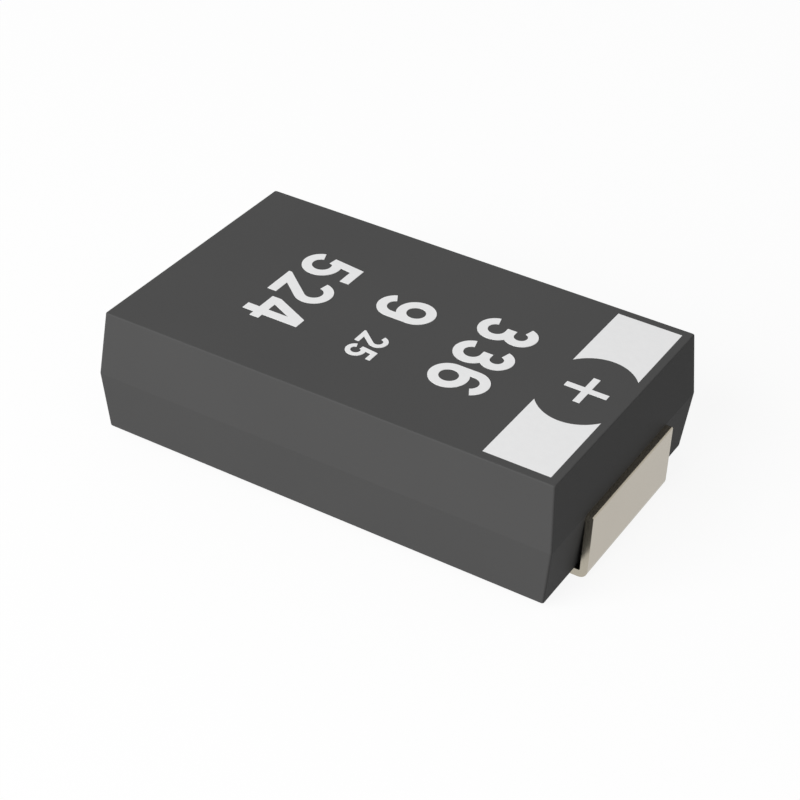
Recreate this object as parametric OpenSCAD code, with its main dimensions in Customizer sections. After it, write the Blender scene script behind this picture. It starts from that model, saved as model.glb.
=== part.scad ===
// Tantalum capacitor in a moulded chip case, low profile, with two folded solder terminals.
// Millimetres, +Z up. The origin is on the solder plane, under the middle of the part.
// +X points to the anode, the end that carries the polarity band.

/* [Moulded case] */
// Length of the case at its parting line
case_l = 7.08; // [6.8:0.02:7.6]
// Width of the case at its parting line
case_w = 4.3; // [3.9:0.05:4.8]
// Height of the case
case_h = 1.89; // [1.83:0.01:2.3]
// Height of the parting line above the case's underside
parting_h = 0.91; // [0.87:0.01:0.98]
// Draft of the four walls, above and below the parting line
draft_angle = 5; // [2:0.5:7]
// Radius of the case's upright corners
case_corner_r = 0.03; // [0.02:0.01:0.15]
// Radius of the rims round the top and the underside
case_rim_r = 0.02; // [0.01:0.01:0.08]
// Distance along the case from each solder foot to the glue pad on the underside
pad_end_gap = 0.6; // [0.3:0.05:1.2]
// Distance from the case's long sides to the glue pad
pad_side_gap = 0.4; // [0.3:0.05:1]
// How far the glue pad stands out of the underside
pad_h = 0.05; // [0.03:0.01:0.08]
// Thickness of the moulding beside the pellet, measured at the parting line
side_wall = 0.5; // [0.35:0.05:0.8]
// Thickness of the moulding above the coated pellet
roof_wall = 0.22; // [0.12:0.01:0.3]
// Thickness of the moulding under the cathode strip's shelf
floor_wall = 0.24; // [0.15:0.01:0.3]

/* [Terminals] */
// Width of the two terminals
lead_w = 2.4; // [2.2:0.05:2.6]
// Thickness of the terminal strip
lead_t = 0.11; // [0.1:0.01:0.13]
// Length of each solder foot
foot_l = 1.3; // [1.0:0.05:1.5]
// Inner radius of the fold between the upright plate and the foot
foot_bend_r = 0.02; // [0.01:0.01:0.08]
// Inner radius of the folds inside the case
step_bend_r = 0.06; // [0.03:0.01:0.08]
// Outer radius of the coined shoulder, where the strip turns down outside the case
shoulder_r = 0.02; // [0.01:0.01:0.08]
// How far the anode strip reaches into the case
anode_reach = 1.15; // [1.0:0.05:1.25]
// Slope of the cathode strip's step down to its shelf
step_angle = 50; // [42:1:65]
// Distance from the foot of the step to the coated pellet's end
step_gap = 0.12; // [0.06:0.01:0.2]
// How far the cathode strip's shelf stops short of the pellet's wire end
shelf_stop = 1.6; // [0.6:0.1:2.5]
// Radius of the notches by which the case grips each strip
lock_r = 0.15; // [0.1:0.01:0.2]
// Distance from the case's end to the middle of the notches
lock_x = 0.5; // [0.4:0.05:0.7]

/* [Anode pellet and wire] */
// Distance from the case's anode end to the pellet, which leaves room for the weld
anode_space = 1.7; // [1.5:0.05:2]
// Distance from the case's cathode end to the pellet, which leaves room for the step
cathode_space = 0.98; // [0.9:0.02:1.2]
// Radius along the pellet's four long edges
pellet_edge_r = 0.12; // [0.05:0.01:0.2]
// Diameter of the tantalum wire
wire_d = 0.3; // [0.24:0.02:0.32]
// Length of wire pressed into the pellet
wire_depth = 3.0; // [2:0.1:3.6]
// Length of wire that lies on the anode strip
wire_lap = 0.7; // [0.6:0.05:0.9]
// How much of the wire's round is flattened on the strip
wire_flat = 0.03; // [0.02:0.005:0.05]
// Diameter of the washer at the wire's root
washer_d = 0.9; // [0.7:0.05:1]
// Thickness of the washer
washer_t = 0.12; // [0.08:0.01:0.2]
// Length of the weld along the wire
weld_l = 0.4; // [0.3:0.05:0.5]
// Half width of the weld where it meets the strip
weld_w = 0.26; // [0.24:0.01:0.3]

/* [Cathode layers] */
// Thickness of the conductive polymer
polymer_t = 0.04; // [0.03:0.005:0.05]
// Thickness of the carbon coat
carbon_t = 0.02; // [0.015:0.005:0.03]
// Thickness of the silver coat
silver_t = 0.03; // [0.02:0.005:0.04]
// How far the carbon stops short of the pellet's wire end
carbon_stop = 0.15; // [0.1:0.01:0.25]
// How far the silver stops short of the pellet's wire end
silver_stop = 0.35; // [0.3:0.01:0.5]
// Thickness of the silver adhesive under the pellet
adhesive_t = 0.04; // [0.03:0.005:0.06]
// Height of the adhesive's bead up the pellet's end
bead_h = 0.22; // [0.15:0.01:0.3]
// How far the adhesive stops short of the strip's notches
adhesive_inset = 0.06; // [0.03:0.01:0.2]

/* [Polarity band] */
// Width of the band, along the case
band_w = 0.97; // [0.7:0.01:1.1]
// Distance from the top face's anode edge to the band
band_end_gap = 0.13; // [0.08:0.01:0.2]
// Distance from the top face's long edges to the band
band_side_gap = 0.14; // [0.08:0.01:0.3]
// Length of the oval window in the band, across the case
window_l = 1.61; // [1.3:0.01:1.8]
// Width of the oval window, along the case
window_w = 1.33; // [1.2:0.01:1.5]
// Thickness of the marked skin, which is flush with the top face
band_t = 0.03; // [0.02:0.005:0.04]

/* [Hidden] */

corner_steps = 6;  // facets in a rounded corner of an outline
window_steps = 64; // facets round the band's window
round_fn = 64;     // facets of a drawn cylinder
past = 1;          // how far a cut runs past the face it opens

// Levels
case_z = lead_t;                 // the case stands on its feet
parting_z = case_z + parting_h;  // the strips leave the case here
top_z = case_z + case_h;
shelf_z = case_z + floor_wall + lead_t;
coated_z0 = shelf_z + adhesive_t;
coated_z1 = top_z - roof_wall;

// Growth of the pellet's outline under each layer, and over them all
to_carbon = polymer_t;
to_silver = to_carbon + carbon_t;
coats_t = to_silver + silver_t;

// Pellet: it fills the space between the case's walls
pellet_x0 = cathode_space - case_l / 2;
pellet_x1 = case_l / 2 - anode_space;
pellet_w = case_w - 2 * side_wall;
pellet_t = coated_z1 - coated_z0 - 2 * coats_t;
pellet_z = (coated_z0 + coated_z1) / 2;

// Wire: it lies flattened on the anode strip
wire_r = wire_d / 2;
wire_z = parting_z + wire_r - wire_flat;
anode_tip_x = case_l / 2 - anode_reach;
wire_tip_x = anode_tip_x + wire_lap;

// Terminals: the upright plates stand against the case's widest line
plate_x = case_l / 2 + lead_t;
foot_x = plate_x - foot_l;

// The cathode strip's step, on the +X side, where the strip is drawn before it is mirrored
coated_end_x = coats_t - pellet_x0;
step_x1 = coated_end_x + step_gap;
step_x0 = step_x1 + (parting_z - shelf_z) / tan(step_angle);
shelf_x = shelf_stop - pellet_x1;
anode_path = [[foot_x, 0], [plate_x, 0], [plate_x, parting_z], [anode_tip_x, parting_z]];
cathode_path = [[foot_x, 0], [plate_x, 0], [plate_x, parting_z], [step_x0, parting_z], [step_x1, shelf_z],
                [shelf_x, shelf_z]];

// Each fold's [inner radius, outer radius]. The shoulder is coined square on the inside
foot_fold = [foot_bend_r, foot_bend_r + lead_t];
shoulder_fold = [0, shoulder_r];
step_fold = [step_bend_r, step_bend_r + lead_t];
anode_folds = [foot_fold, shoulder_fold];
cathode_folds = [foot_fold, shoulder_fold, step_fold, step_fold];

// Top face, whose rim is left out of its flat
top_inset = (case_h - parting_h) * tan(draft_angle);
band_x1 = case_l / 2 - top_inset - band_end_gap;
band_x0 = band_x1 - band_w;
band_half_l = case_w / 2 - top_inset - band_side_gap;

// ---- Outlines ----

function unit(v) = v / norm(v);
function left_of(v) = [-v[1], v[0]];
function reversed(list) = [for (i = [len(list) - 1:-1:0]) list[i]];

// The corner at b between a and c, as one sharp point or as an arc of radius r
function rounded(a, b, c, r) = r == 0 ? [b] :
    let (u = unit(a - b), v = unit(c - b), half = acos(u * v) / 2,
         centre = b + unit(u + v) * r / sin(half),
         start = b + u * r / tan(half) - centre,
         sweep = (180 - 2 * half) * sign(cross(b - a, c - b)),
         first = atan2(start[1], start[0]))
    [for (k = [0:corner_steps])
        centre + r * [cos(first + sweep * k / corner_steps), sin(first + sweep * k / corner_steps)]];

// A rectangle about the origin with four round corners
function round_rect(l, w, r) =
    let (p = [[l, w] / 2, [-l, w] / 2, [-l, -w] / 2, [l, -w] / 2])
    [for (i = [0:3]) each rounded(p[(i + 3) % 4], p[i], p[(i + 1) % 4], r)];

// A path moved to its left by d, with mitred corners
function beside(path, d) =
    let (last = len(path) - 1)
    [for (i = [0:last])
        let (n0 = left_of(unit(path[max(i, 1)] - path[max(i, 1) - 1])),
             n1 = left_of(unit(path[min(i, last - 1) + 1] - path[min(i, last - 1)])))
        path[i] + d * (n0 + n1) / (1 + n0 * n1)];

// One edge of a folded strip, its right or its left one, which is the inside of a fold to that side
function strip_edge(path, folds, is_left) =
    let (last = len(path) - 1)
    [for (i = [0:last])
        each (i == 0 || i == last ? [path[i]] :
            let (turns_left = cross(path[i] - path[i - 1], path[i + 1] - path[i]) > 0)
            rounded(path[i - 1], path[i], path[i + 1], folds[i - 1][turns_left == is_left ? 0 : 1]))];

// The outline of a folded strip that lies on the left of its path
function strip_outline(path, folds) = concat(
    strip_edge(path, folds, false),
    reversed(strip_edge(beside(path, lead_t), folds, true)));

// ---- Shared solids ----

// A solid through rings of points, from the lowest ring to the highest
module loft(rings) {
    n = len(rings[0]);
    top = len(rings) - 1;
    polyhedron(
        points = [for (ring = rings) each ring],
        faces = concat(
            [[for (i = [0:n - 1]) i]],
            [for (k = [0:top - 1], i = [0:n - 1])
                [k * n + i, (k + 1) * n + i, (k + 1) * n + (i + 1) % n, k * n + (i + 1) % n]],
            [[for (i = [n - 1:-1:0]) top * n + i]]));
}

// An outline in X and Z, drawn out along Y about the middle
module slab_y(w) {
    rotate([90, 0, 0]) linear_extrude(height = w, center = true) children();
}

// A round bar along X
module bar_x(x0, x1, r) {
    translate([x0, 0, wire_z]) rotate([0, 90, 0]) cylinder(h = x1 - x0, r = r, $fn = round_fn);
}

// The pellet grown by g on its sides and its cathode end, up to x1
module pellet_block(g, x1) {
    x0 = pellet_x0 - g;
    translate([x0, 0, pellet_z]) rotate([90, 0, 90])
        linear_extrude(height = x1 - x0) polygon(round_rect(pellet_w + 2 * g, pellet_t + 2 * g, pellet_edge_r + g));
}

// ---- Case ----

// Rim points [inset from the parting line's outline, height above the parting line] of one half of the case
function rim(h) =
    let (centre_h = h - case_rim_r,
         centre_inset = centre_h * tan(draft_angle) + case_rim_r / cos(draft_angle))
    [for (k = [0:corner_steps])
        let (a = draft_angle + (90 - draft_angle) * k / corner_steps)
        [centre_inset - case_rim_r * cos(a), centre_h + case_rim_r * sin(a)]];

// The case's outline pulled in by inset, at height z
function case_ring(inset, z) = [for (p = round_rect(case_l - 2 * inset, case_w - 2 * inset, case_corner_r))
    [p[0], p[1], z]];

module case_blank() {
    lower = reversed(rim(parting_h));
    upper = rim(case_h - parting_h);
    loft(concat(
        [for (p = lower) case_ring(p[0], parting_z - p[1])],
        [case_ring(0, parting_z)],
        [for (p = upper) case_ring(p[0], parting_z + p[1])]));
}

// The raised pad on the underside for a dot of glue, with drafted sides. It is rooted in the case
module glue_pad() {
    pad_l = 2 * (foot_x - pad_end_gap);
    pad_w = case_w - 2 * pad_side_gap;
    loft([for (z = [case_z - pad_h, case_z + pad_h])
        let (grown = 2 * (z - case_z) * tan(draft_angle))
        [for (p = round_rect(pad_l + grown, pad_w + grown, case_corner_r)) [p[0], p[1], z]]]);
}

// Everything that the compound flowed round, as blanks that run into each other
module moulded_in() {
    anode_strip();
    cathode_strip();
    wire_blank();
    washer_blank();
    weld_blank();
    polymer_blank();
    carbon_blank();
    silver_blank();
    adhesive_blank();
}

module molded_case() {
    color([0.3, 0.3, 0.3]) difference() {
        union() {
            case_blank();
            glue_pad();
        }
        moulded_in();
        band_shape(band_t + past);
    }
}

// ---- Terminals ----

// A pair of half-round notches in a strip's sides, just inside the case and clear of the foot
module lock_notches() {
    notch_z = case_z + floor_wall / 2;
    for (side = [-1, 1])
        translate([case_l / 2 - lock_x, side * lead_w / 2, notch_z])
            cylinder(h = top_z - notch_z, r = lock_r, $fn = round_fn);
}

module strip(path, folds) {
    difference() {
        slab_y(lead_w) polygon(strip_outline(path, folds));
        lock_notches();
    }
}

module anode_strip() {
    strip(anode_path, anode_folds);
}

module cathode_strip() {
    mirror([1, 0, 0]) strip(cathode_path, cathode_folds);
}

module anode_lead() {
    color([0.72, 0.69, 0.64]) anode_strip();
}

module cathode_lead() {
    color([0.72, 0.69, 0.64]) cathode_strip();
}

// ---- Anode ----

module tantalum_pellet() {
    color([0.32, 0.33, 0.37]) difference() {
        pellet_block(0, pellet_x1);
        wire_blank();
    }
}

module wire_blank() {
    bar_x(pellet_x1 - wire_depth, wire_tip_x, wire_r);
}

// The wire, flattened where it is welded down on the anode strip
module tantalum_wire() {
    color([0.56, 0.57, 0.6]) difference() {
        wire_blank();
        translate([anode_tip_x, -wire_d, parting_z - wire_d]) cube([wire_lap + past, 2 * wire_d, wire_d]);
    }
}

// The washer without its hole, run into the pellet
module washer_blank() {
    bar_x(pellet_x1 - washer_t, pellet_x1 + washer_t, washer_d / 2);
}

module wire_washer() {
    color([0.93, 0.93, 0.9]) difference() {
        washer_blank();
        pellet_block(0, pellet_x1);
        wire_blank();
    }
}

// The weld as one wedge over the wire, sunk into the anode strip
module weld_blank() {
    weld_x0 = anode_tip_x + (wire_lap - weld_l) / 2;
    translate([weld_x0, 0, parting_z]) rotate([90, 0, 90]) linear_extrude(height = weld_l)
        polygon([[-weld_w, -lead_t / 2], [weld_w, -lead_t / 2], [weld_w, 0], [0, 2 * (wire_r - wire_flat)],
                 [-weld_w, 0]]);
}

// Two fillets of melted metal, one on each side of the wire
module wire_weld() {
    color([0.66, 0.65, 0.62]) difference() {
        weld_blank();
        anode_strip();
        wire_blank();
    }
}

// ---- Cathode ----

// The polymer's outer form, which closes over the wire end too, up to the washer
module polymer_blank() {
    pellet_block(to_carbon, pellet_x1 + polymer_t);
}

module carbon_blank() {
    pellet_block(to_silver, pellet_x1 - carbon_stop);
}

module silver_blank() {
    pellet_block(coats_t, pellet_x1 - silver_stop);
}

module polymer_layer() {
    color([0.16, 0.18, 0.26]) difference() {
        polymer_blank();
        pellet_block(0, pellet_x1);
        washer_blank();
    }
}

module carbon_coat() {
    color([0.12, 0.12, 0.12]) difference() {
        carbon_blank();
        polymer_blank();
    }
}

module silver_coat() {
    color([0.75, 0.75, 0.74]) difference() {
        silver_blank();
        pellet_block(to_silver, pellet_x1);
    }
}

// The adhesive run into the strip below it and into the coated pellet above
module adhesive_blank() {
    strip_depth = lead_t / 2;
    coat_depth = coats_t / 2;
    bead_x = step_x1 + bead_h / tan(step_angle);
    mirror([1, 0, 0]) slab_y(lead_w - 2 * (lock_r + adhesive_inset)) polygon([
        [shelf_x, shelf_z - strip_depth], [step_x1, shelf_z - strip_depth],
        [bead_x + strip_depth, shelf_z + bead_h], [bead_x, shelf_z + bead_h],
        [coated_end_x, coated_z0 + bead_h], [coated_end_x - coat_depth, coated_z0 + bead_h],
        [coated_end_x - coat_depth, coated_z0 + coat_depth], [shelf_x, coated_z0 + coat_depth]]);
}

// A film on the shelf, and a bead between the strip's step and the pellet's end
module silver_adhesive() {
    color([0.6, 0.6, 0.58]) difference() {
        adhesive_blank();
        cathode_strip();
        silver_blank();
    }
}

// ---- Marking ----

// The band's two fields, either side of the oval window, drawn up to a height of h
module band_shape(h) {
    difference() {
        translate([band_x0, -band_half_l, top_z - band_t]) cube([band_w, 2 * band_half_l, h]);
        translate([(band_x0 + band_x1) / 2, 0, top_z - band_t - past]) linear_extrude(height = h + 2 * past)
            polygon([for (k = [0:window_steps - 1])
                let (a = 360 * (k + 0.5) / window_steps) [window_w * cos(a), window_l * sin(a)] / 2]);
    }
}

module polarity_band() {
    color([0.88, 0.88, 0.88]) band_shape(band_t);
}

molded_case();
anode_lead();
cathode_lead();
tantalum_pellet();
tantalum_wire();
wire_washer();
wire_weld();
polymer_layer();
carbon_coat();
silver_coat();
silver_adhesive();
polarity_band();
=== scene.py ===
"""A low moulded chip capacitor: a dark epoxy case with plated terminals and white marking."""

import math

import bpy
from mathutils import Matrix, Vector


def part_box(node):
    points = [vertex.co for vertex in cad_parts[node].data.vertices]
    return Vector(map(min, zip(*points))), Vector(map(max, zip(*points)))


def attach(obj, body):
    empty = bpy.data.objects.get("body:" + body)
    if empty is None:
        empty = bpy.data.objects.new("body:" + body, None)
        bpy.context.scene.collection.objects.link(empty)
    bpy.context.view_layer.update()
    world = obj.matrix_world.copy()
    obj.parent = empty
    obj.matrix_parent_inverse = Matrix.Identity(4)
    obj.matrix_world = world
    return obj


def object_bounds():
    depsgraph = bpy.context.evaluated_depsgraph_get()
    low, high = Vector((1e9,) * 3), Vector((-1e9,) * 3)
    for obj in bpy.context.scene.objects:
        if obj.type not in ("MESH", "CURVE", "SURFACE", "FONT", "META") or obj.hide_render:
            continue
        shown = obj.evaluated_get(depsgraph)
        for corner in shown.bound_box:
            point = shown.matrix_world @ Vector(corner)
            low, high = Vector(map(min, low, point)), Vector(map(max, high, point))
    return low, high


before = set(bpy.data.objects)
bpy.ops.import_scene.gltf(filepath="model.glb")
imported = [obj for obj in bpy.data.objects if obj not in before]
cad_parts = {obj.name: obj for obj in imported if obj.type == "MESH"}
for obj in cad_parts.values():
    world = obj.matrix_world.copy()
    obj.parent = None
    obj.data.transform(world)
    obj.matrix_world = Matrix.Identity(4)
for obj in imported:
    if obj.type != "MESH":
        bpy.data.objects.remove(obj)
CAD_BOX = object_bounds()

MM = 0.001
MICRON = 1e-6

# ---- Places taken from the frame ----

top_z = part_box("molded_case")[1].z
band_low, band_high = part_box("polarity_band")
strip_half_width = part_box("anode_lead")[1].y
middle = (CAD_BOX[0] + CAD_BOX[1]) / 2


# ---- Shader maths ----


class Wire:
    """A number or colour that runs through a material. Arithmetic on it adds the Math nodes."""

    def __init__(self, finish, socket):
        self.finish = finish
        self.socket = socket

    def maths(self, operation, *values):
        return self.finish.node("ShaderNodeMath", {"operation": operation}, values)

    def __add__(self, other):
        return self.maths("ADD", self, other)

    def __radd__(self, other):
        return self.maths("ADD", other, self)

    def __sub__(self, other):
        return self.maths("SUBTRACT", self, other)

    def __rsub__(self, other):
        return self.maths("SUBTRACT", other, self)

    def __mul__(self, other):
        return self.maths("MULTIPLY", self, other)

    def __rmul__(self, other):
        return self.maths("MULTIPLY", other, self)

    def __abs__(self):
        return self.maths("ABSOLUTE", self)

    def __gt__(self, other):
        return self.maths("GREATER_THAN", self, other)


class Finish:
    """The nodes of a material or world."""

    def __init__(self, owner):
        self.owner = owner
        owner.use_nodes = True
        self.tree = owner.node_tree
        self.tree.nodes.clear()

    def node(self, kind, settings=None, inputs=(), output=0):
        """Adds a node: its settings first, then the values or links of its sockets, in order or by name."""
        node = self.tree.nodes.new(kind)
        for name, value in (settings or {}).items():
            if name == "stops":
                self.set_stops(node.color_ramp, value)
            else:
                setattr(node, name, value)
        pairs = inputs.items() if isinstance(inputs, dict) else enumerate(inputs)
        for key, value in pairs:
            if isinstance(value, Wire):
                self.tree.links.new(value.socket, node.inputs[key])
            else:
                node.inputs[key].default_value = value
        return Wire(self, node.outputs[output]) if node.outputs else None

    def set_stops(self, ramp, stops):
        """Places a ramp's stops, each a position and a colour."""
        while len(ramp.elements) < len(stops):
            ramp.elements.new(1.0)
        for element, (position, colour) in zip(ramp.elements, stops):
            element.position = position
            element.color = rgba(colour)

    def place(self, x=1.0, y=1.0, z=1.0):
        """Object coordinates, with their axes scaled."""
        here = self.node("ShaderNodeTexCoord", output="Object")
        return self.node("ShaderNodeMapping", {"vector_type": "POINT"}, {"Vector": here, "Scale": (x, y, z)})

    def noise(self, grain, detail=2.0, roughness=0.5, place=None):
        """Noise from 0 to 1, with grains about that many metres across."""
        where = place or self.place()
        inputs = {"Vector": where, "Scale": 1 / grain, "Detail": detail, "Roughness": roughness}
        return self.node("ShaderNodeTexNoise", {"noise_dimensions": "3D"}, inputs)

    def pits(self, spacing):
        """Distance to the nearest of many scattered points, from 0 to about 1."""
        inputs = {"Vector": self.place(), "Scale": 1 / spacing}
        return self.node("ShaderNodeTexVoronoi", {"feature": "F1"}, inputs)

    def blend(self, factor, first, second):
        """From the first colour to the second."""
        inputs = {0: factor, 6: rgba(first), 7: rgba(second)}
        return self.node("ShaderNodeMix", {"data_type": "RGBA"}, inputs, output=2)

    def bump(self, height, distance, strength):
        """A normal bent by a height of 0 to 1 that stands for that many metres."""
        inputs = {"Height": height, "Distance": distance, "Strength": strength}
        return self.node("ShaderNodeBump", None, inputs)

    def surface(self, **sockets):
        """Ends the nodes in a Principled shader and returns the material."""
        inputs = {name.replace("_", " "): value for name, value in sockets.items()}
        shader = self.node("ShaderNodeBsdfPrincipled", None, inputs)
        self.node("ShaderNodeOutputMaterial", None, {"Surface": shader})
        return self.owner


def rgba(colour):
    """A colour with its alpha, or the wire that carries one."""
    return colour if isinstance(colour, Wire) else (*colour, 1.0)


def material(name):
    return Finish(bpy.data.materials.new(name))


# ---- Finishes ----


def moulded_epoxy():
    """Dark grey moulding compound: an even matte skin with the fine grain of the mould."""
    f = material("moulded_epoxy")
    clouds = f.noise(2.5 * MM, 3.0)
    grain = f.noise(28 * MICRON, 3.0, 0.6)
    filler = f.pits(90 * MICRON)
    return f.surface(
        Base_Color=f.blend(clouds * 0.7 + grain * 0.3, (0.060, 0.060, 0.060), (0.071, 0.0705, 0.070)),
        Roughness=0.58 + 0.16 * grain,
        Specular_IOR_Level=0.08,
        Normal=f.bump(grain * 0.75 + filler * 0.25, 2.2 * MICRON, 0.6),
    )


def plated_strip():
    """Tin-plated strip: fine rolling lines crossed by the plating's soft grain, and cut sides painted paler,
    partly the cut metal's own tone and partly a painted reflection of the bright floor.
    """
    f = material("plated_strip")
    rolling = f.noise(26 * MICRON, 3.0, 0.55, f.place(0.04, 1.0, 0.04))
    plating = f.noise(60 * MICRON, 3.0, 0.6)
    haze = f.noise(0.9 * MM, 2.0)
    across = f.node("ShaderNodeSeparateXYZ", None, (f.place(),), output=1)
    cut_sides_with_painted_light = abs(across) > strip_half_width - 3 * MICRON
    rolled = f.blend(haze * 0.6 + rolling * 0.4, (0.39, 0.352, 0.286), (0.435, 0.392, 0.319))
    return f.surface(
        # Cut sides painted paler: partly the cut metal's own tone, partly a painted reflection of the bright
        # floor.
        Base_Color=f.blend(cut_sides_with_painted_light, rolled, (0.455, 0.42, 0.345)),
        Metallic=1.0,
        Roughness=0.15 + 0.06 * plating + 0.06 * rolling + 0.025 * cut_sides_with_painted_light,
        Normal=f.bump(rolling * 0.6 + plating * 0.4, 0.8 * MICRON, 0.35),
    )


def white_skin():
    """The white marking: matte and a little mottled."""
    f = material("white_skin")
    mottle = f.noise(110 * MICRON, 3.0, 0.6)
    grain = f.noise(22 * MICRON, 2.0)
    return f.surface(
        Base_Color=f.blend(mottle * 0.6 + grain * 0.4, (0.77, 0.77, 0.775), (0.84, 0.84, 0.84)),
        Roughness=0.62 + 0.15 * grain,
        Specular_IOR_Level=0.25,
        Normal=f.bump(grain, 1.6 * MICRON, 0.5),
    )


def sintered_tantalum():
    """Pressed tantalum powder, dark and open-grained."""
    f = material("sintered_tantalum")
    powder = f.pits(18 * MICRON)
    clumps = f.noise(80 * MICRON, 4.0, 0.65)
    return f.surface(
        Base_Color=f.blend(powder * 0.6 + clumps * 0.4, (0.09, 0.095, 0.115), (0.27, 0.28, 0.32)),
        Metallic=0.7,
        Roughness=0.62 + 0.2 * clumps,
        Normal=f.bump(powder * 0.7 + clumps * 0.3, 6 * MICRON, 0.9),
    )


def drawn_wire():
    """Tantalum wire with the fine lines of its die along it."""
    f = material("drawn_wire")
    lines = f.noise(14 * MICRON, 2.0, 0.5, f.place(0.02, 1.0, 1.0))
    return f.surface(
        Base_Color=f.blend(lines, (0.31, 0.32, 0.35), (0.42, 0.43, 0.47)),
        Metallic=1.0,
        Roughness=0.24 + 0.12 * lines,
        Normal=f.bump(lines, 1.2 * MICRON, 0.6),
    )


def white_polymer():
    """The washer's white fluoropolymer, waxy and slightly veined."""
    f = material("white_polymer")
    veins = f.noise(120 * MICRON, 3.0, 0.5, f.place(1.0, 0.3, 1.0))
    return f.surface(
        Base_Color=f.blend(veins, (0.74, 0.74, 0.71), (0.84, 0.84, 0.82)),
        Roughness=0.4 + 0.12 * veins,
        Normal=f.bump(veins, 2 * MICRON, 0.3),
    )


def welded_metal():
    """Melted and rippled metal, straw to blue where it was hottest."""
    f = material("welded_metal")
    ripples = f.noise(35 * MICRON, 3.0, 0.6)
    heat = f.noise(160 * MICRON, 1.0)
    tints = [(0.3, (0.42, 0.4, 0.37)), (0.5, (0.45, 0.36, 0.24)), (0.7, (0.25, 0.24, 0.32))]
    return f.surface(
        Base_Color=f.node("ShaderNodeValToRGB", {"stops": tints}, (heat,)),
        Metallic=1.0,
        Roughness=0.28 + 0.25 * ripples,
        Normal=f.bump(ripples, 6 * MICRON, 0.8),
    )


def conductive_polymer():
    """The dark blue conductive polymer, dried in thin uneven coats."""
    f = material("conductive_polymer")
    coats = f.noise(220 * MICRON, 4.0, 0.55)
    return f.surface(
        Base_Color=f.blend(coats, (0.012, 0.018, 0.045), (0.035, 0.05, 0.1)),
        Roughness=0.32 + 0.25 * coats,
        Normal=f.bump(coats, 5 * MICRON, 0.6),
    )


def carbon_paint():
    """Carbon paint: black flakes with a dull sheen."""
    f = material("carbon_paint")
    flakes = f.pits(30 * MICRON)
    dull = f.noise(150 * MICRON, 3.0)
    return f.surface(
        Base_Color=f.blend(flakes * 0.5 + dull * 0.5, (0.012, 0.012, 0.013), (0.035, 0.035, 0.037)),
        Roughness=0.55 + 0.3 * flakes,
        Normal=f.bump(flakes, 3 * MICRON, 0.7),
    )


def silver_flakes(name, light, dark, coarseness):
    """Silver flakes in a resin, from fine paint to coarse adhesive."""
    f = material(name)
    flakes = f.pits(22 * MICRON * coarseness)
    drag = f.noise(180 * MICRON, 3.0, 0.6, f.place(1.0, 0.25, 1.0))
    return f.surface(
        Base_Color=f.blend(flakes * 0.6 + drag * 0.4, light, dark),
        Metallic=0.8,
        Roughness=0.38 + 0.25 * flakes,
        Normal=f.bump(flakes * 0.5 + drag * 0.5, 3 * MICRON * coarseness, 0.7),
    )


def dress(piece, finish):
    """Gives a piece its finish."""
    piece.data.materials.clear()
    piece.data.materials.append(finish)


def dress_frame(white):
    """Gives each node of the frame its finish. The band shares its white with the print."""
    strip = plated_strip()
    finishes = {
        "molded_case": moulded_epoxy(),
        "anode_lead": strip,
        "cathode_lead": strip,
        "tantalum_pellet": sintered_tantalum(),
        "tantalum_wire": drawn_wire(),
        "wire_washer": white_polymer(),
        "wire_weld": welded_metal(),
        "polymer_layer": conductive_polymer(),
        "carbon_coat": carbon_paint(),
        "silver_coat": silver_flakes("silver_paint", (0.62, 0.62, 0.6), (0.42, 0.42, 0.41), 1.0),
        "silver_adhesive": silver_flakes("silver_adhesive", (0.46, 0.46, 0.44), (0.25, 0.25, 0.24), 2.0),
        "polarity_band": white,
    }
    for node, finish in finishes.items():
        dress(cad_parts[node], finish)


# ---- Marking ----

INK = 6 * MICRON  # how far the print stands out of the case

# Patterns are drawn in millimetres, as units, and one unit thick. They are scaled down when they are printed
NUMERAL_WIDTH = 0.565
NUMERAL_HEIGHT = 0.88
NUMERAL_LINE = 0.145
BEND_STEP = 7.5  # degrees of a bend in each of its flats
WELD_GAP = 0.0005  # points closer than this are one
PLACE_DECIMALS = 4  # to which a point's place is rounded

# Each numeral's strokes, in a cell whose lower left corner is at 0: where a stroke starts, its heading in
# degrees, its moves, and the sides where it is cut off square. A move that is a number is a straight run of
# that length, and a pair is a bend's radius and its turn in degrees.
STROKES = {
    "2": [
        ((0.0757, 0.634), 80, [(0.21, -210), 0.72], {"left": 0.0, "foot": 0.0}),
        ((0.12, 0.0725), 0, [0.425], {}),
    ],
    "3": [
        ((0.1042, 0.2189), 285, [(0.1975, 255), 0.08], {}),
        ((0.1208, 0.6815), 75, [(0.17, -255), 0.08], {}),
    ],
    "4": [
        ((0.394, 0.97), 244, [0.93], {"left": 0.0, "foot": 0.1825, "top": 0.88}),
        ((0.0, 0.255), 0, [0.565], {}),
        ((0.395, 0.0), 90, [0.88], {}),
    ],
    "5": [
        ((0.51, 0.8075), 180, [0.38], {}),
        ((0.1847, 0.92), 263, [0.554], {"top": 0.88}),
        ((0.1255, 0.4395), 45, [(0.215, -295)], {}),
    ],
    "6": [
        ((0.0745, 0.3), 90, [0.2975, (0.208, -152)], {}),
        ((0.4925, 0.2825), 90, [(0.21, 360)], {}),
    ],
}
OUTWARD = {"left": (-1, 0, 0), "foot": (0, -1, 0), "top": (0, 1, 0)}


def start_nib(line, start, heading):
    """Adds an upright nib, as wide as the line, and faces it along the stroke."""
    bpy.ops.object.select_all(action="DESELECT")
    upright = (math.radians(90), 0, math.radians(heading - 90))
    bpy.ops.mesh.primitive_plane_add(size=1.0, location=start, rotation=upright)
    stroke = bpy.context.object
    stroke.scale.x = line
    bpy.ops.object.transform_apply()
    return stroke


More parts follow.
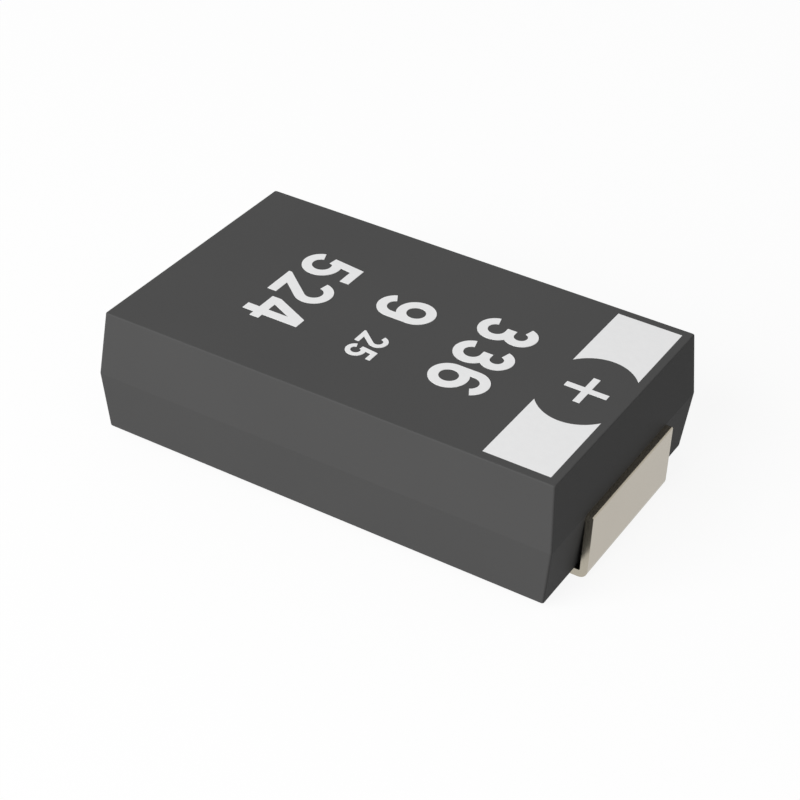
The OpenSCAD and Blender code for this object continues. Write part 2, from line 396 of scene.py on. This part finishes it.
def draw_stroke(line, start, heading, moves):
    """Draws a nib along straight runs and round bends, which turn left where the turn is positive."""
    place = Vector((*start, 0))
    stroke = start_nib(line, place, heading)
    bpy.ops.object.mode_set(mode="EDIT")
    bpy.ops.mesh.select_all(action="SELECT")
    for move in moves:
        forward = Matrix.Rotation(math.radians(heading), 3, "Z") @ Vector((1, 0, 0))
        if isinstance(move, tuple):
            radius, turn = move
            centre = place + Vector((-forward.y, forward.x, 0)) * math.copysign(radius, turn)
            steps = max(2, round(abs(turn) / BEND_STEP))
            bpy.ops.mesh.spin(steps=steps, angle=-math.radians(turn), center=centre, axis=(0, 0, 1),
                              use_auto_merge=False)
            place = centre + Matrix.Rotation(math.radians(turn), 3, "Z") @ (place - centre)
            heading += turn
        else:
            bpy.ops.mesh.extrude_region_move(TRANSFORM_OT_translate={"value": forward * move})
            place = place + forward * move
    bpy.ops.object.mode_set(mode="OBJECT")
    if (place - Vector((*start, 0))).length < WELD_GAP:
        remove_faces_at(stroke, place)
    close_up(stroke)
    return stroke


def remove_faces_at(piece, place):
    """Deletes the two ends of a stroke that has come full circle, so that it closes into a ring."""
    bpy.ops.object.mode_set(mode="EDIT")
    bpy.ops.mesh.select_all(action="DESELECT")
    bpy.ops.object.mode_set(mode="OBJECT")
    for face in piece.data.polygons:
        face.select = (face.center - place).length < WELD_GAP
    bpy.ops.object.mode_set(mode="EDIT")
    bpy.ops.mesh.select_mode(type="FACE")
    bpy.ops.mesh.delete(type="ONLY_FACE")
    bpy.ops.mesh.select_mode(type="VERT")
    bpy.ops.object.mode_set(mode="OBJECT")


def close_up(piece):
    """Merges points that meet, faces the skin outwards, and rounds the points' places.

    Sides of two strokes that lie flush are then in exactly one plane, as a clean weld needs.
    """
    bpy.ops.object.mode_set(mode="EDIT")
    bpy.ops.mesh.select_all(action="SELECT")
    bpy.ops.mesh.remove_doubles(threshold=WELD_GAP)
    bpy.ops.mesh.normals_make_consistent(inside=False)
    bpy.ops.object.mode_set(mode="OBJECT")
    for point in piece.data.vertices:
        point.co = [round(along, PLACE_DECIMALS) for along in point.co]


def weld_strokes(strokes):
    """Makes overlapping strokes one solid."""
    first, *others = strokes
    bpy.context.view_layer.objects.active = first
    for other in others:
        weld = first.modifiers.new("weld", "BOOLEAN")
        weld.operation = "UNION"
        weld.solver = "MANIFOLD"
        weld.object = other
        bpy.ops.object.modifier_apply(modifier=weld.name)
        bpy.data.objects.remove(other)
    return first


def pick(piece):
    """Leaves one piece selected and active."""
    bpy.ops.object.select_all(action="DESELECT")
    piece.select_set(True)
    bpy.context.view_layer.objects.active = piece


def cut_square(stroke, cuts):
    """Cuts a stroke off at the sides of its cell that are named."""
    pick(stroke)
    bpy.ops.object.mode_set(mode="EDIT")
    for side, at in cuts.items():
        bpy.ops.mesh.select_all(action="SELECT")
        bpy.ops.mesh.bisect(plane_co=(at, at, 0), plane_no=OUTWARD[side], use_fill=True, clear_outer=True)
    bpy.ops.object.mode_set(mode="OBJECT")
    close_up(stroke)


def numeral(digit):
    """One numeral's pattern."""
    strokes = []
    for start, heading, moves, cuts in STROKES[digit]:
        stroke = draw_stroke(NUMERAL_LINE, start, heading, moves)
        cut_square(stroke, cuts)
        strokes.append(stroke)
    return weld_strokes(strokes)


def copy_of(piece):
    """A copy with its own mesh."""
    twin = piece.copy()
    twin.data = piece.data.copy()
    bpy.context.scene.collection.objects.link(twin)
    return twin


def turned_half_round(piece):
    """A copy turned half round in its cell, which makes a nine of a six."""
    twin = copy_of(piece)
    pick(twin)
    twin.location = (NUMERAL_WIDTH, NUMERAL_HEIGHT, 0)
    twin.rotation_euler.z = math.radians(180)
    bpy.ops.object.transform_apply()
    return twin


def print_mark(pattern, name, x, y, scale, white):
    """Prints a pattern on the case's top, its foot to the cathode end. X and y are in millimetres."""
    mark = copy_of(pattern)
    mark.name = name
    pick(mark)
    mark.location = (x * MM, y * MM, top_z + INK / 2)
    mark.rotation_euler.z = math.radians(-90)
    mark.scale = (scale * MM, scale * MM, INK)
    bpy.ops.object.transform_apply()
    dress(mark, white)
    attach(mark, "root")


# Each row's name, digits, x of its foot, y of its left end, pitch in millimetres, and scale
ROWS = [
    ("value", "336", 0.885, 0.91, 0.6725, 1.0),
    ("grade", "9", -0.55, 0.61, 0.0, 1.0),
    ("limit", "25", -0.31, -0.43, 0.33, 0.5),
    ("batch", "524", -2.0, 0.94, 0.683, 1.0),
]
PLUS_SPAN = 0.62  # millimetres
PLUS_LINE = 0.1


def print_numerals(white):
    """The four rows of plain numbers."""
    patterns = {digit: numeral(digit) for digit in STROKES}
    patterns["9"] = turned_half_round(patterns["6"])
    for name, digits, foot, left, pitch, scale in ROWS:
        for place, digit in enumerate(digits):
            print_mark(patterns[digit], f"{name}_{place + 1}", foot, left - pitch * place, scale, white)
    for pattern in patterns.values():
        bpy.data.objects.remove(pattern)


def print_plus(white):
    """The plus sign in the band's window."""
    half = PLUS_SPAN / 2
    across = draw_stroke(PLUS_LINE, (-half, 0), 0, [PLUS_SPAN])
    along = draw_stroke(PLUS_LINE, (0, -half), 90, [PLUS_SPAN])
    pattern = weld_strokes([across, along])
    print_mark(pattern, "plus_sign", (band_low.x + band_high.x) / 2 / MM, 0, 1.0, white)
    bpy.data.objects.remove(pattern)


# ---- Studio ----

# The camera stands off the part's front right, a little above, and is tilted slightly about its own axis
CAMERA_AZIMUTH = math.radians(29.611)
CAMERA_ELEVATION = math.radians(35.147)
CAMERA_ROLL = math.radians(2.751)
CAMERA_DISTANCE = 28.529 * MM
CAMERA_ASIDE = 0.0371 * MM  # to the right of the part's middle, as the camera sees it
CAMERA_BELOW = 0.2278 * MM
LENS = 92.278  # millimetres, as the sensor's width is
SENSOR = 36.0


def toward(azimuth, elevation):
    """Unit vector to that side of the part. Azimuth 0 is the front, and 90 degrees the anode end."""
    level = math.cos(elevation)
    return Vector((math.sin(azimuth) * level, -math.cos(azimuth) * level, math.sin(elevation)))


def axes_facing(back, roll=0.0):
    """A turn whose Z axis is back, and whose X axis is level before the roll."""
    right = Vector((0, 0, 1)).cross(back).normalized()
    up = back.cross(right)
    turned_right = right * math.cos(roll) + up * math.sin(roll)
    turned_up = up * math.cos(roll) - right * math.sin(roll)
    return Matrix((turned_right, turned_up, back)).transposed()


def add_camera():
    data = bpy.data.cameras.new("camera")
    data.lens = LENS
    data.sensor_width = SENSOR
    data.clip_start = CAMERA_DISTANCE / 100
    data.clip_end = CAMERA_DISTANCE * 100
    camera = bpy.data.objects.new("camera", data)
    back = toward(CAMERA_AZIMUTH, CAMERA_ELEVATION)
    level_axes = axes_facing(back)
    place = middle + level_axes @ Vector((CAMERA_ASIDE, -CAMERA_BELOW, CAMERA_DISTANCE))
    camera.matrix_world = Matrix.Translation(place) @ axes_facing(back, CAMERA_ROLL).to_4x4()
    bpy.context.scene.collection.objects.link(camera)
    bpy.context.scene.camera = camera


def add_softbox(name, azimuth, elevation, distance, size, level):
    """A square lamp aimed at the part. A white surface that faces it renders that bright from it alone."""
    data = bpy.data.lights.new(name, "AREA")
    data.shape = "SQUARE"
    data.size = size
    data.energy = level * (math.pi * distance) ** 2
    back = toward(math.radians(azimuth), math.radians(elevation))
    lamp = bpy.data.objects.new(name, data)
    lamp.matrix_world = Matrix.Translation(middle + back * distance) @ axes_facing(back).to_4x4()
    bpy.context.scene.collection.objects.link(lamp)


def background_seen(f):
    """1 on the rays that show the background: the camera's, and those in mirrors and through glass."""
    rays = [f.node("ShaderNodeLightPath", output=kind)
            for kind in ("Is Camera Ray", "Is Glossy Ray", "Is Transmission Ray")]
    return f.node("ShaderNodeMath", {"operation": "ADD", "use_clamp": True}, (rays[0] + rays[1], rays[2]))


def add_world(level):
    """Even light from all round, and white where it is seen."""
    world = bpy.data.worlds.new("studio")
    bpy.context.scene.world = world
    f = Finish(world)
    strength = level + (1 - level) * background_seen(f)
    background = f.node("ShaderNodeBackground", None, {"Color": (1, 1, 1, 1), "Strength": strength})
    f.node("ShaderNodeOutputWorld", None, {"Surface": background})


def floor_paint(own_light, shown, bounced):
    """Floor seen white, mostly by its own light so that shadows stay faint. It lights the part less."""
    f = material("floor_paint")
    seen = background_seen(f)
    shade = f.blend(seen, (bounced, bounced, bounced), (shown, shown, shown))
    lit = f.node("ShaderNodeBsdfDiffuse", None, {"Color": shade})
    white = f.node("ShaderNodeEmission", None, {"Color": (1, 1, 1, 1), "Strength": 1.0})
    mixed = f.node("ShaderNodeMixShader", None, (own_light * seen, lit, white))
    f.node("ShaderNodeOutputMaterial", None, {"Surface": mixed})
    return f.owner


def add_floor():
    bpy.ops.object.select_all(action="DESELECT")
    bpy.ops.mesh.primitive_plane_add(size=2.0, location=(0, 0, CAD_BOX[0].z))
    floor = bpy.context.object
    floor.name = "floor"
    dress(floor, floor_paint(own_light=0.9, shown=0.94, bounced=0.42))


def add_studio():
    add_camera()
    add_world(level=0.38)
    add_softbox("key", azimuth=-20, elevation=30.8, distance=120 * MM, size=90 * MM, level=1.32)
    add_floor()
    bpy.context.scene.view_settings.view_transform = "Standard"


add_studio()
white = white_skin()
dress_frame(white)
print_numerals(white)
print_plus(white)
